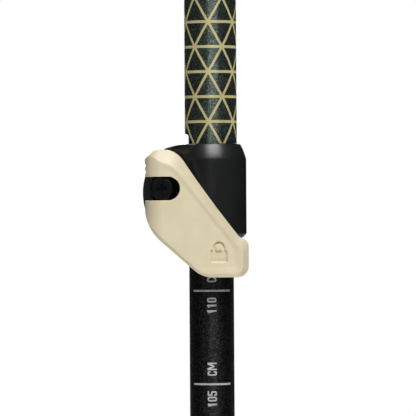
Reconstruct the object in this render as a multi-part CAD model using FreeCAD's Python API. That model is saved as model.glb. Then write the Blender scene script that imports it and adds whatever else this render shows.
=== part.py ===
"""Three-section telescoping trekking pole with two cam-lever shaft locks.

The pole stands upright. Z runs up its axis and the point of its carbide tip is at the origin. Each
lock's lever lies flat on the -Y side of the pole and its clamping ears point to -X, where the front of
the grip is. The wrist strap hangs on the +X side of the grip. All sizes are in millimetres.

Three nested tubes slide and turn in each other. Each lock is a split collar that squeezes the slotted
end of the outer tube onto the inner tube: a lever with an eccentric cam turns about a trunnion pin and
drives the collar's two ears together through a screw that runs through the pin, both ears and a
captive square nut.
"""

import FreeCAD
import Part
import math
import os

V = FreeCAD.Vector

# ---------------------------------------------------------------- driving dimensions

POLE_LENGTH = 1128.0  # tip to the top of the grip
UPPER_SECTION = 520.0  # top of the grip down to the underside of the upper lock
LOWER_EXPOSED = 323.0  # tip up to the underside of the lower lock

UPPER_TUBE_R = 8.0
MIDDLE_TUBE_R = 7.0
LOWER_TUBE_R = 6.0
TUBE_WALL = 0.8
MIDDLE_TUBE_LENGTH = 450.0
LOWER_TUBE_LENGTH = 420.0

# Lock, in its own frame: pole axis at x = y = 0, screw axis at z = 0
COLLAR_R = 9.5
COLLAR_TOP = 12.0
COLLAR_BOTTOM = -13.3
COLLAR_LIP = 1.3  # height of the ring under the outer tube's end
CONE_HEIGHT = 4.1  # tapered top of the collar
CONE_BULGE = 0.14
EAR_FRONT = -2.95
EAR_BACK = 5.5
SPLIT_GAP = 1.2
SLOT_HALF_WIDTH = 3.8  # relief slot in the outer tube's end
SLOT_TOP = 14.7
SLOT_CORNER_R = 1.3

PIVOT_X, PIVOT_Y = -13.1, -8.0  # lever's trunnion pin, parallel to the pole
CAM_R = 4.5
CAM_OFFSET = 0.5  # the cam's centre lies this far behind the pin
TRUNNION_R = 2.6
TRUNNION_HALF_LENGTH = 7.2
LEVER_FRONT = -12.6
LEVER_BACK = -9.9
BEVEL_START = -10.7  # the bevel's outer edge
DISH_DEPTH = 0.49  # at the lock's origin
DISH_SLOPE_X, DISH_SLOPE_Z = 0.0256, 0.0124  # the floor's extra depth for each millimetre right and up
MARK_DEPTH = 1.0
WINDOW_HALF_HEIGHT = 3.15
WINDOW_END_X = -11.45  # centre of the window's rounded end

SCREW_R = 2.0
SCREW_HEAD_R = 3.0
SCREW_HEAD_SEAT = -9.6
SCREW_HEAD_HEIGHT = 2.0
NUT_SIDE = 7.0
NUT_HEIGHT = 3.0
RUNNING_GAP = 0.05  # radial clearance of pins, screws and bushes

LOWER_LOCK_Z = LOWER_EXPOSED - COLLAR_BOTTOM
UPPER_LOCK_Z = POLE_LENGTH - UPPER_SECTION - COLLAR_BOTTOM

# Foot
TIP_R = 2.4
TIP_LENGTH = 16.0
FERRULE_TOP = 95.0
LOWER_TUBE_BOTTOM = 58.0
SOCKET_R = 7.5
BASKET_SEAT_R = 7.0
BASKET_THREAD_R = 7.6
BASKET_R = 26.0

# Grip
GRIP_BOTTOM = 985.0
GRIP_TOP = 1112.0  # where the cap starts
EXTENSION_BOTTOM = 852.0
UPPER_TUBE_TOP = 1096.0
STRAP_PIN_X, STRAP_PIN_Z = 3.6, 1104.5
STRAP_PIN_R = 1.5
STRAP_SLOT_X = (0.0, 7.6)  # slot for the strap's turn and its wedge
STRAP_SLOT_HALF = 8.6
STRAP_WIDTH = 16.0
STRAP_THICKNESS = 1.6
PAD_WIDTH = 26.0
PAD_THICKNESS = 3.4
PAD_RISE = 42.0  # how far the pad reaches above the centre of the loop's wide turn


# ---------------------------------------------------------------- helpers


def cylinder_z(radius, low, high, x=0.0, y=0.0):
    return Part.makeCylinder(radius, high - low, V(x, y, low), V(0, 0, 1))


def cylinder_y(radius, low, high, x, z):
    return Part.makeCylinder(radius, high - low, V(x, low, z), V(0, 1, 0))


def block(x, y, z):
    """Box from three (low, high) pairs."""
    return Part.makeBox(x[1] - x[0], y[1] - y[0], z[1] - z[0], V(x[0], y[0], z[0]))


def tube(outer, inner, low, high):
    return cylinder_z(outer, low, high).cut(cylinder_z(inner, low, high))


def at_y(y):
    return lambda x, z: V(x, y, z)


def at_z(z):
    return lambda x, y: V(x, y, z)


def outline(points, place):
    """Closed wire. A line arrives at a point (u, v), and an arc arrives at a point (u, v, via_u, via_v)."""
    corners = [place(p[0], p[1]) for p in points]
    edges = []
    for i, point in enumerate(points):
        start, end = corners[i - 1], corners[i]
        if len(point) == 4:
            edges.append(Part.Arc(start, place(point[2], point[3]), end).toShape())
        else:
            edges.append(Part.LineSegment(start, end).toShape())
    return Part.Wire(edges[1:] + edges[:1])


def prism(points, place, along):
    return Part.Face(outline(points, place)).extrude(along)


def revolved(points):
    """Solid of revolution about the pole's axis from an (r, z) outline."""
    return Part.Face(outline(points, at_y(0))).revolve(V(0, 0, 0), V(0, 0, 1), 360)


def ruled_solid(low_points, low_place, high_points, high_place):
    return Part.makeLoft([outline(low_points, low_place), outline(high_points, high_place)], True, True)


def edges_where(shape, wanted):
    """The edges whose middle point passes the test."""
    found = []
    for edge in shape.Edges:
        first, last = edge.ParameterRange
        if wanted(edge.valueAt((first + last) / 2)):
            found.append(edge)
    return found


def ellipse(z, centre_x, half_x, half_y):
    """Elliptical wire across the pole, its seam always on the +X side."""
    if half_x >= half_y:
        curve = Part.Ellipse(V(centre_x + half_x, 0, z), V(centre_x, half_y, z), V(centre_x, 0, z))
    else:
        curve = Part.Ellipse(V(centre_x, half_y, z), V(centre_x - half_x, 0, z), V(centre_x, 0, z))
    return Part.Wire([curve.toShape()])


# ---------------------------------------------------------------- lock


def make_collar(outer_r, inner_r):
    """Split collar on the outer tube's end, with a key in the tube's slot and two clamping ears."""
    cone_r = outer_r + 0.9
    cone_middle = ((COLLAR_R + cone_r) / 2 + CONE_BULGE, COLLAR_TOP - CONE_HEIGHT / 2)
    ring = revolved(
        [
            (0, COLLAR_BOTTOM),
            (COLLAR_R - 1.1, COLLAR_BOTTOM),
            (COLLAR_R, COLLAR_BOTTOM + 1.1),
            (COLLAR_R, COLLAR_TOP - CONE_HEIGHT),
            (cone_r, COLLAR_TOP, *cone_middle),
            (0, COLLAR_TOP),
        ]
    )
    gusset_y = -7.0
    front_view = [
        (0, COLLAR_TOP),
        (0, COLLAR_BOTTOM),
        (-12.4, COLLAR_BOTTOM),
        (-13.0, 10.5, -18.3, -0.3),
        (-6.5, COLLAR_TOP - 0.15, -9.8, 11.5),
        (-5.0, COLLAR_TOP),
    ]
    top_view = [
        (0, gusset_y),
        (-5.8, gusset_y),
        (-10.3, EAR_FRONT),
        (-20.0, EAR_FRONT),
        (-20.0, EAR_BACK),
        (-7.5, EAR_BACK),
        (0, EAR_BACK + 2.5),
    ]
    ears = prism(front_view, at_y(gusset_y), V(0, EAR_BACK + 2.5 - gusset_y, 0)).common(
        prism(top_view, at_z(COLLAR_BOTTOM), V(0, 0, COLLAR_TOP - COLLAR_BOTTOM))
    )

    def is_back_edge(p):
        return p.x < -8.5 and abs(p.y - EAR_BACK) < 0.1 and p.z > COLLAR_BOTTOM + 1

    ears = ears.makeFillet(1.2, edges_where(ears, is_back_edge))
    collar = ring.fuse(ears).removeSplitter()

    key = block((-20, 0), (0.2 - SLOT_HALF_WIDTH, SLOT_HALF_WIDTH - 0.2), (COLLAR_BOTTOM, COLLAR_TOP))
    bore = cylinder_z(outer_r, COLLAR_BOTTOM + COLLAR_LIP, COLLAR_TOP + 1).cut(key)
    guide = cylinder_z(inner_r + 0.15, COLLAR_BOTTOM - 1, COLLAR_TOP + 1)
    split = block((-20, 0), (-SPLIT_GAP / 2, SPLIT_GAP / 2), (COLLAR_BOTTOM - 1, COLLAR_TOP + 1))
    screw_hole = cylinder_y(SCREW_R + 0.15, -12, 8, PIVOT_X, 0)
    half_nut = NUT_SIDE / 2 + 0.1
    nut_pocket = block(
        (PIVOT_X - half_nut, PIVOT_X + half_nut),
        (EAR_BACK - NUT_HEIGHT - 0.3, EAR_BACK + 1),
        (-half_nut, half_nut),
    )
    for void in (bore, guide, split, screw_hole, nut_pocket):
        collar = collar.cut(void)
    return collar


# The lever seen from the front, as (x, z) points: its outer edge, the crest where its bevel meets its
# face, and the rim and floor of the shallow dish inside that crest
LEVER_EDGE = [
    (-17.6, 7.9),
    (-15.6, 9.7),
    (-12.9, 10.4, -14.4, 10.3),
    (-7.5, 7.6, -9.8, 9.65),
    (7.3, -12.8, 0.45, -3.8),
    (8.1, -13.3),
    (9.9, -15.3, 9.35, -14.05),
    (9.9, -20.8),
    (6.9, -23.75, 9.0, -22.85),
    (-0.6, -23.75),
    (-4.95, -21.55, -2.95, -22.95),
    (-13.7, -13.9),
    (-17.6, -6.4, -16.4, -10.2),
]
LEVER_CREST = [
    (-17.6, 6.95),
    (-15.8, 6.95),
    (-14.0, 6.95, -14.9, 7.0),
    (-8.2, 3.75, -10.65, 6.0),
    (6.0, -13.9, -1.05, -4.95),
    (6.8, -14.9),
    (8.35, -17.3, 7.85, -15.95),
    (8.35, -20.4),
    (6.3, -22.7, 7.8, -22.1),
    (-0.5, -22.9),
    (-4.5, -21.1, -2.7, -22.25),
    (-13.1, -13.35),
    (-17.6, -6.0, -15.9, -9.9),
]
DISH_RIM = [
    (-15.2, 6.1),
    (-13.8, 6.4),
    (-8.35, 3.55, -10.7, 5.6),
    (5.85, -14.0),
    (6.65, -15.05),
    (8.1, -17.5, 7.6, -16.15),
    (8.1, -20.2),
    (6.2, -22.45, 7.55, -21.85),
    (-0.4, -22.65),
    (-4.2, -20.9, -2.5, -22.0),
    (-12.7, -13.1),
    (-15.2, -7.8, -14.55, -10.5),
]
DISH_FLOOR = [
    (-13.7, 5.0),
    (-13.0, 5.3),
    (-9.15, 3.0, -10.75, 4.5),
    (4.95, -14.5),
    (5.5, -15.4),
    (6.4, -18.0, 6.15, -16.7),
    (6.4, -19.6),
    (5.3, -20.9, 6.1, -20.6),
    (0.1, -21.0),
    (-3.1, -19.6, -1.6, -20.55),
    (-11.4, -12.0),
    (-13.6, -8.0, -13.0, -9.9),
]


def at_dish_floor(x, z):
    """The dish is deepest along the lever's diagonal side and runs out towards its lower left side."""
    return V(x, LEVER_FRONT + DISH_DEPTH + DISH_SLOPE_X * x + DISH_SLOPE_Z * z, z)


def make_lock_mark():
    """A small padlock pressed into the lever's face, to show which way is locked."""
    centre_x, seam_z = 2.0, -16.4
    body_half, body_height = 2.2, 3.3
    shackle_r, shackle_inner_r, shackle_leg = 1.6, 0.9, 0.7
    depth = (LEVER_FRONT, LEVER_FRONT + MARK_DEPTH)
    body = block((centre_x - body_half, centre_x + body_half), depth, (seam_z - body_height, seam_z))
    legs_z = (seam_z - 0.1, seam_z + shackle_leg)
    bow = cylinder_y(shackle_r, *depth, centre_x, legs_z[1]).cut(
        block((centre_x - 3, centre_x + 3), depth, (seam_z - 3, legs_z[1]))
    )
    legs = block((centre_x - shackle_r, centre_x + shackle_r), depth, legs_z)
    hollow = cylinder_y(shackle_inner_r, *depth, centre_x, legs_z[1]).fuse(
        block((centre_x - shackle_inner_r, centre_x + shackle_inner_r), depth, (seam_z, legs_z[1]))
    )
    return bow.fuse(legs).cut(hollow).fuse(body)


def make_lever():
    """Cam lever: a bevelled, dished plate in front of the collar, with a forked cam on the trunnion pin."""
    plate = prism(LEVER_EDGE, at_y(BEVEL_START), V(0, -BEVEL_START, 0)).fuse(
        ruled_solid(LEVER_EDGE, at_y(BEVEL_START), LEVER_CREST, at_y(LEVER_FRONT))
    )
    cam_y = PIVOT_Y + CAM_OFFSET
    diagonal = CAM_R * math.sin(math.radians(45))
    top_view = [
        (-17.6, -9.1, -15.59, -11.64),
        (PIVOT_X - CAM_R, cam_y),
        (PIVOT_X, cam_y + CAM_R, PIVOT_X - diagonal, cam_y + diagonal),
        (PIVOT_X + CAM_R, cam_y, PIVOT_X + diagonal, cam_y + diagonal),
        (PIVOT_X + CAM_R, LEVER_BACK + 0.9),
        (PIVOT_X + CAM_R + 0.9, LEVER_BACK, PIVOT_X + CAM_R + 0.26, LEVER_BACK + 0.26),
        (6.6, LEVER_BACK),
        (8.0, -8.5, 7.59, -9.49),
        (8.0, -7.6),
        (10.0, -7.6, 9.0, -6.6),
        (10.0, LEVER_FRONT),
        (-12.5, LEVER_FRONT),
    ]
    lever = plate.common(prism(top_view, at_z(-30), V(0, 0, 60)))

    shell_space = block((-20, PIVOT_X + CAM_R + 1), (LEVER_BACK, 0), (-30, -8.6))
    dish = ruled_solid(DISH_RIM, at_y(LEVER_FRONT - 0.02), DISH_FLOOR, at_dish_floor)
    window = (
        block((-20, WINDOW_END_X), (-15, 0), (-WINDOW_HALF_HEIGHT, WINDOW_HALF_HEIGHT))
        .fuse(cylinder_y(WINDOW_HALF_HEIGHT, -15, 0, WINDOW_END_X, 0))
        .fuse(cylinder_z(4.85, -WINDOW_HALF_HEIGHT, WINDOW_HALF_HEIGHT, PIVOT_X, PIVOT_Y))
    )
    bore_top = TRUNNION_HALF_LENGTH + 0.2
    pin_bore = cylinder_z(TRUNNION_R + RUNNING_GAP, -9, bore_top, PIVOT_X, PIVOT_Y)
    for void in (shell_space, dish, window, pin_bore, make_lock_mark()):
        lever = lever.cut(void)
    for groove_z in (6.1, 4.4):
        lever = lever.cut(cylinder_y(0.6, -15, 0, PIVOT_X - CAM_R - 0.3, groove_z))
    return lever


def make_trunnion_pin():
    """Pin that the lever turns on, drilled across for the screw and flattened under its head."""
    pin = cylinder_z(TRUNNION_R, -TRUNNION_HALF_LENGTH, TRUNNION_HALF_LENGTH, PIVOT_X, PIVOT_Y)
    flat = block((-20, 0), (-15, SCREW_HEAD_SEAT), (-SCREW_HEAD_R - 0.1, SCREW_HEAD_R + 0.1))
    return pin.cut(flat).cut(cylinder_y(SCREW_R + RUNNING_GAP, -12, 0, PIVOT_X, 0))


def make_screw():
    """Tension screw with a cross recess in its head."""
    head_front = SCREW_HEAD_SEAT - SCREW_HEAD_HEIGHT
    recess_depth = 0.9
    head = cylinder_y(SCREW_HEAD_R, head_front, SCREW_HEAD_SEAT, PIVOT_X, 0)
    head = head.makeFillet(0.5, edges_where(head, lambda p: abs(p.y - head_front) < 0.01))
    screw = head.fuse(cylinder_y(SCREW_R, SCREW_HEAD_SEAT, EAR_BACK - 0.2, PIVOT_X, 0))
    for half_x, half_z in ((0.35, 1.35), (1.35, 0.35)):
        across = (PIVOT_X - half_x, PIVOT_X + half_x)
        screw = screw.cut(block(across, (head_front, head_front + recess_depth), (-half_z, half_z)))
    return screw


def make_nut():
    """Captive square nut in the back ear."""
    half = NUT_SIDE / 2
    back = EAR_BACK - 0.2
    nut = block((PIVOT_X - half, PIVOT_X + half), (back - NUT_HEIGHT, back), (-half, half))
    return nut.cut(cylinder_y(SCREW_R + RUNNING_GAP, -1, 8, PIVOT_X, 0))


def make_lock(name, height, outer_r, inner_r):
    """The five pieces of one lock, raised to its screw's height."""
    pieces = {
        "collar": make_collar(outer_r, inner_r),
        "lever": make_lever(),
        "trunnion_pin": make_trunnion_pin(),
        "tension_screw": make_screw(),
        "square_nut": make_nut(),
    }
    for piece in pieces.values():
        piece.translate(V(0, 0, height))
    return {f"{name}_{piece}": shape for piece, shape in pieces.items()}


# ---------------------------------------------------------------- tubes


def make_slotted_tube(outer_r, lock_z, top):
    """Outer tube of a lock: its end sits on the collar's lip and has a round-cornered relief slot to -X."""
    bottom = lock_z + COLLAR_BOTTOM + COLLAR_LIP
    shaft = tube(outer_r, outer_r - TUBE_WALL, bottom, top)
    slot_top = lock_z + SLOT_TOP
    slot = block((-outer_r - 1, 0), (-SLOT_HALF_WIDTH, SLOT_HALF_WIDTH), (bottom - 1, slot_top))

    def is_corner(p):
        return abs(p.z - slot_top) < 0.01 and abs(abs(p.y) - SLOT_HALF_WIDTH) < 0.01

    return shaft.cut(slot.makeFillet(SLOT_CORNER_R, edges_where(slot, is_corner)))


def make_guide_bush(stem_bore_r, head_bore_r, tube_top):
    """Plastic bush on an inner tube's top end: a stem inside that tube and a slotted head outside it."""
    inner_r, outer_r = stem_bore_r - RUNNING_GAP, head_bore_r - RUNNING_GAP
    head_height, stem_height, ridge = 16.0, 14.0, 0.4
    head_low = tube_top + RUNNING_GAP
    head_high = head_low + head_height
    bush = revolved(
        [
            (inner_r - 1.6, head_low - stem_height),
            (inner_r, head_low - stem_height),
            (inner_r, head_low),
            (outer_r - ridge, head_low),
            (outer_r, head_low + ridge),
            (outer_r, head_low + 4),
            (outer_r - ridge, head_low + 4 + ridge),
            (outer_r - ridge, head_high - 4 - ridge),
            (outer_r, head_high - 4),
            (outer_r, head_high - ridge),
            (outer_r - ridge, head_high),
            (inner_r - 1.6, head_high),
        ]
    )
    slit_half = 0.5
    for angle in (0, 60, 120):
        slit = block((-outer_r - 1, outer_r + 1), (-slit_half, slit_half), (head_high - 10, head_high + 1))
        slit.rotate(V(0, 0, 0), V(0, 0, 1), angle)
        bush = bush.cut(slit)
    return bush


# ---------------------------------------------------------------- foot


def make_carbide_tip():
    """Cylindrical insert with a hollow crown that bites into rock."""
    tip = revolved([(0, 1.4), (1.7, 0), (2.2, 0), (TIP_R, 0.5), (TIP_R, TIP_LENGTH), (0, TIP_LENGTH)])
    for angle in (0, 90):
        notch = block((-3, 3), (-0.35, 0.35), (-1, 0.7))
        notch.rotate(V(0, 0, 0), V(0, 0, 1), angle)
        tip = tip.cut(notch)
    return tip


def make_ferrule():
    """Flexible plastic foot: nose around the carbide, basket thread and socket for the lower tube."""
    thread_pitch, thread_start, thread_turns = 3.0, 43.0, 3
    profile = [(0, 4.5), (3.4, 4.5), (3.9, 5.2), (5.5, 17.0), (5.5, 39.0), (BASKET_SEAT_R, 41.5)]
    for turn in range(thread_turns):
        z = thread_start + thread_pitch * turn
        profile += [
            (BASKET_SEAT_R, z),
            (BASKET_THREAD_R, z + 0.6),
            (BASKET_THREAD_R, z + 1.3),
            (BASKET_SEAT_R, z + 1.9),
        ]
    profile += [
        (BASKET_SEAT_R, 56.0),
        (8.8, 56.0),
        (8.8, 58.5),
        (SOCKET_R, 61.0),
        (SOCKET_R, FERRULE_TOP - 9),
        (LOWER_TUBE_R + 0.7, FERRULE_TOP),
        (0, FERRULE_TOP),
    ]
    ferrule = revolved(profile)
    tip_bore = cylinder_z(TIP_R, 4, TIP_LENGTH)
    socket = cylinder_z(LOWER_TUBE_R, LOWER_TUBE_BOTTOM, FERRULE_TOP + 1)
    ferrule = ferrule.cut(tip_bore).cut(socket)
    rib_count, rib_half = 12, 0.5
    for i in range(rib_count):
        flute = block((SOCKET_R - 0.45, SOCKET_R + 1), (-rib_half, rib_half), (63, FERRULE_TOP - 12))
        flute.rotate(V(0, 0, 0), V(0, 0, 1), 360 / rib_count * i)
        ferrule = ferrule.cut(flute)
    return ferrule


def make_basket():
    """Trekking basket: threaded hub, shallow dished web with six windows, and a rounded rim."""
    hub_low, hub_high, hub_r = 42.0, 55.6, 10.0
    bore_r = BASKET_THREAD_R + 0.1
    basket = revolved(
        [
            (bore_r, hub_low + 0.5),
            (bore_r + 0.5, hub_low),
            (hub_r - 0.6, hub_low),
            (hub_r, hub_low + 0.6),
            (hub_r, 47.4),
            (11.2, 48.2, 10.3, 48.0),
            (22.6, 50.6),
            (BASKET_R - 1.6, 50.3),
            (BASKET_R, 51.9, BASKET_R - 0.47, 50.8),
            (BASKET_R - 1.6, 53.5, BASKET_R - 0.47, 53.0),
            (22.4, 52.6),
            (11.6, 50.2),
            (hub_r, 51.4, 10.4, 50.4),
            (hub_r, hub_high - 0.6),
            (hub_r - 0.6, hub_high),
            (bore_r, hub_high),
        ]
    )
    windows, spoke_half, inner_r, outer_r = 6, 1.6, 13.0, 22.0
    ring = tube(outer_r, inner_r, 40, 60)
    for i in range(windows):
        spoke = block((0, BASKET_R), (-spoke_half, spoke_half), (39, 61))
        spoke.rotate(V(0, 0, 0), V(0, 0, 1), 360 / windows * (i + 0.5))
        ring = ring.cut(spoke)
    return basket.cut(ring)


# ---------------------------------------------------------------- grip


def make_grip_handle():
    """Contoured hand grip with a bore for the upper tube, and the strap's slot through its back."""
    sections = [
        (GRIP_BOTTOM, 0.0, 13.2, 12.4),
        (990.0, 0.0, 14.2, 13.2),
        (1002.0, 0.0, 13.0, 12.2),
        (1022.0, -0.6, 14.4, 12.8),
        (1044.0, -1.2, 15.2, 13.4),
        (1066.0, -1.4, 14.8, 12.9),
        (1084.0, -2.2, 14.6, 12.6),
        (1098.0, -4.0, 17.0, 14.6),
        (GRIP_TOP, -5.6, 19.4, 16.4),
    ]
    grip = Part.makeLoft([ellipse(*s) for s in sections], True, False)
    slot_y = (-STRAP_SLOT_HALF, STRAP_SLOT_HALF)
    strap_slot = block(STRAP_SLOT_X, slot_y, (UPPER_TUBE_TOP + 4, GRIP_TOP + 1))
    strap_exit = block((STRAP_PIN_X, 20.0), slot_y, (STRAP_PIN_Z - 3.7, STRAP_PIN_Z + 3.7))
    pin_hole = make_strap_pin()
    bore = cylinder_z(UPPER_TUBE_R, GRIP_BOTTOM - 1, UPPER_TUBE_TOP)
    for void in (bore, strap_slot, strap_exit, pin_hole):
        grip = grip.cut(void)
    return grip


def make_grip_cap():
    """Domed hard-plastic top of the grip, with the slot that the strap's wedge slides in."""
    sections = [
        (GRIP_TOP, -5.6, 19.4, 16.4),
        (1116.0, -5.9, 19.6, 16.7),
        (1121.0, -6.1, 18.4, 15.6),
        (1125.4, -6.2, 14.6, 12.2),
        (POLE_LENGTH, -6.2, 7.0, 5.6),
    ]
    cap = Part.makeLoft([ellipse(*s) for s in sections], True, False)
    slot_y = (-STRAP_SLOT_HALF, STRAP_SLOT_HALF)
    return cap.cut(block(STRAP_SLOT_X, slot_y, (GRIP_TOP - 1, POLE_LENGTH + 1)))


def make_strap_pin():
    return cylinder_y(STRAP_PIN_R, -11.5, 11.5, STRAP_PIN_X, STRAP_PIN_Z)


def make_strap_wedge():
    """Wedge that presses down on the strap's turn. It lifts out of the cap to free the strap."""
    side_gap, top = 0.3, 1126.0
    sides = (STRAP_SLOT_X[0] + side_gap, STRAP_SLOT_X[1] - side_gap)
    half = STRAP_SLOT_HALF - side_gap
    wedge = block(sides, (-half, half), (STRAP_PIN_Z + 2 * STRAP_THICKNESS + side_gap, top))
    wedge = wedge.makeFillet(1.0, edges_where(wedge, lambda p: abs(p.z - top) < 0.01))
    finger_notch = cylinder_y(2.0, -half - 1, half + 1, sides[1] + 0.8, top - 3.0)
    return wedge.cut(finger_notch)


def make_strap_anchor():
    """The strap's turn round its pin, inside the grip."""
    exit_x = 14.4
    outer = STRAP_THICKNESS * 2
    inner = STRAP_THICKNESS
    low, high = STRAP_PIN_Z - outer, STRAP_PIN_Z + outer
    half = STRAP_WIDTH / 2
    turn = cylinder_y(outer, -half, half, STRAP_PIN_X, STRAP_PIN_Z).fuse(
        block((STRAP_PIN_X, exit_x), (-half, half), (low, high))
    )
    hollow = cylinder_y(inner, -half, half, STRAP_PIN_X, STRAP_PIN_Z).fuse(
        block((STRAP_PIN_X, exit_x), (-half, half), (STRAP_PIN_Z - inner, STRAP_PIN_Z + inner))
    )
    return turn.cut(hollow)


# Teardrop of the hanging strap in the XZ plane: a small turn at the grip and a wide one for the hand
LOOP_TOP_X, LOOP_TOP_R = 18.0, 3.2
LOOP_LOW_X, LOOP_LOW_Z, LOOP_LOW_R = 43.0, 975.0, 26.0


def teardrop(inset, y):
    """Face at y inside the tangent outline of both turns, moved inwards by inset."""
    small, large = LOOP_TOP_R - inset, LOOP_LOW_R - inset
    reach = V(LOOP_LOW_X - LOOP_TOP_X, 0, LOOP_LOW_Z - STRAP_PIN_Z)
    low = V(LOOP_LOW_X, y, LOOP_LOW_Z)
    # A deep inset closes the small turn, so it moves down to where the sides are still apart
    least = 0.5
    top = V(LOOP_TOP_X, y, STRAP_PIN_Z) + reach * max(0, (least - small) / (large - small))
    small = max(small, least)
    reach = low - top
    heading = math.atan2(reach.z, reach.x)
    lean = math.acos((small - large) / reach.Length)

    def rim(centre, radius, angle):
        return (centre.x + radius * math.cos(angle), centre.z + radius * math.sin(angle))

    steps = [
        (*rim(top, small, heading + lean), *rim(top, small, heading + math.pi)),
        rim(low, large, heading + lean),
        (*rim(low, large, heading - lean), *rim(low, large, heading)),
        rim(top, small, heading - lean),
    ]
    return Part.Face(outline(steps, at_y(y)))


def make_wrist_strap():
    """Webbing loop that hangs from the back of the grip."""
    y, along = -STRAP_WIDTH / 2, V(0, STRAP_WIDTH, 0)
    return teardrop(0, y).extrude(along).cut(teardrop(STRAP_THICKNESS, y).extrude(along))


def make_wrist_pad():
    """Soft lining sewn to the inside of the loop's lower half."""
    y, along = -PAD_WIDTH / 2, V(0, PAD_WIDTH, 0)
    skin = STRAP_THICKNESS + 0.02
    pad = teardrop(skin, y).extrude(along).cut(teardrop(skin + PAD_THICKNESS, y).extrude(along))
    return pad.common(block((0, 100), (-PAD_WIDTH, PAD_WIDTH), (900, LOOP_LOW_Z + PAD_RISE)))


def make_grip_extension():
    """Ribbed foam sleeve below the grip, for a short hold on steep ground."""
    outer_r, groove_depth, groove_half = 12.2, 1.1, 2.2
    groove_count, first_groove, groove_spacing = 7, 18.0, 16.0
    top = GRIP_BOTTOM - 0.3
    profile = [(UPPER_TUBE_R, EXTENSION_BOTTOM), (10.6, EXTENSION_BOTTOM), (outer_r, EXTENSION_BOTTOM + 3)]
    for i in range(groove_count):
        z = EXTENSION_BOTTOM + first_groove + groove_spacing * i
        profile += [
            (outer_r, z - groove_half),
            (outer_r, z + groove_half, outer_r - groove_depth, z),
        ]
    profile += [(outer_r, top - 1.5), (outer_r - 1.5, top), (UPPER_TUBE_R, top)]
    return revolved(profile)


# ---------------------------------------------------------------- assembly


def make_nodes():
    nodes = make_lock("upper", UPPER_LOCK_Z, UPPER_TUBE_R, MIDDLE_TUBE_R)
    nodes.update(make_lock("lower", LOWER_LOCK_Z, MIDDLE_TUBE_R, LOWER_TUBE_R))

    middle_bottom = LOWER_LOCK_Z + COLLAR_BOTTOM + COLLAR_LIP
    middle_top = middle_bottom + MIDDLE_TUBE_LENGTH
    lower_top = LOWER_TUBE_BOTTOM + LOWER_TUBE_LENGTH
    upper_inner_r = UPPER_TUBE_R - TUBE_WALL
    middle_inner_r = MIDDLE_TUBE_R - TUBE_WALL
    lower_inner_r = LOWER_TUBE_R - TUBE_WALL
    nodes["upper_shaft"] = make_slotted_tube(UPPER_TUBE_R, UPPER_LOCK_Z, UPPER_TUBE_TOP)
    nodes["middle_shaft"] = make_slotted_tube(MIDDLE_TUBE_R, LOWER_LOCK_Z, middle_top)
    nodes["lower_shaft"] = tube(LOWER_TUBE_R, lower_inner_r, LOWER_TUBE_BOTTOM, lower_top)
    nodes["middle_guide_bush"] = make_guide_bush(middle_inner_r, upper_inner_r, middle_top)
    nodes["lower_guide_bush"] = make_guide_bush(lower_inner_r, middle_inner_r, lower_top)
    nodes["shaft_end_plug"] = cylinder_z(upper_inner_r, UPPER_TUBE_TOP - 14, UPPER_TUBE_TOP)

    nodes["carbide_tip"] = make_carbide_tip()
    nodes["tip_ferrule"] = make_ferrule()
    nodes["basket"] = make_basket()

    nodes["grip_handle"] = make_grip_handle()
    nodes["grip_cap"] = make_grip_cap()
    nodes["grip_extension"] = make_grip_extension()
    nodes["strap_wedge"] = make_strap_wedge()
    nodes["strap_pin"] = make_strap_pin()
    nodes["strap_anchor"] = make_strap_anchor()
    nodes["wrist_strap"] = make_wrist_strap()
    nodes["wrist_pad"] = make_wrist_pad()
    return nodes


def main():
    os.makedirs("parts", exist_ok=True)
    for name, shape in make_nodes().items():
        solids = shape.Solids
        whole = solids[0] if len(solids) == 1 else Part.makeCompound(solids)
        whole.exportStep(f"parts/{name}.step")
        print(f"{name}: {len(solids)} solid(s), valid {whole.isValid()}, {whole.Volume / 1000:.3f} cm3")


main()
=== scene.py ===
import math

import bmesh
import bpy
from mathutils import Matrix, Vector


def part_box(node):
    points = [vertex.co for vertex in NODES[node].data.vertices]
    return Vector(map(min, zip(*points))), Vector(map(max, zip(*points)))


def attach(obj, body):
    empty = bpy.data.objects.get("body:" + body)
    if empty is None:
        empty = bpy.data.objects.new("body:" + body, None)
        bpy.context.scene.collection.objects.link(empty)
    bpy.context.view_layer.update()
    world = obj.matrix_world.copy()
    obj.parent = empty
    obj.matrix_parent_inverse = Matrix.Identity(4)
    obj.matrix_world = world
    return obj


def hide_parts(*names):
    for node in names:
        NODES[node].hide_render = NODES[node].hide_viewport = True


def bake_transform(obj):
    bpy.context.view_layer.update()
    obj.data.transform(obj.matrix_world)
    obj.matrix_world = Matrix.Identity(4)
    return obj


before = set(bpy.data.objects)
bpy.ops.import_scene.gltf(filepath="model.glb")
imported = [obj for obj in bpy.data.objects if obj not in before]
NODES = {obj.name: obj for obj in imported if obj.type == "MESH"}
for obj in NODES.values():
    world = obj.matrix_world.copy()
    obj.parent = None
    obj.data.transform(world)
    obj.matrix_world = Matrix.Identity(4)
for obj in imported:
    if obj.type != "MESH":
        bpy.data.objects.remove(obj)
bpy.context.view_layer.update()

MM = 0.001


# ---------------------------------------------------------------- places, from the frame


def low(node):
    return Vector(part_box(node)[0])


def high(node):
    return Vector(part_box(node)[1])


LOWER_COLLAR_BOTTOM = low("lower_collar").z
UPPER_COLLAR_BOTTOM = low("upper_collar").z
SCREW_ABOVE_COLLAR_BOTTOM = 13.3 * MM
LOWER_LOCK_Z = LOWER_COLLAR_BOTTOM + SCREW_ABOVE_COLLAR_BOTTOM
UPPER_LOCK_Z = UPPER_COLLAR_BOTTOM + SCREW_ABOVE_COLLAR_BOTTOM
LOWER_R = high("lower_shaft").y
MIDDLE_R = high("middle_shaft").y
UPPER_R = high("upper_shaft").y

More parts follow.
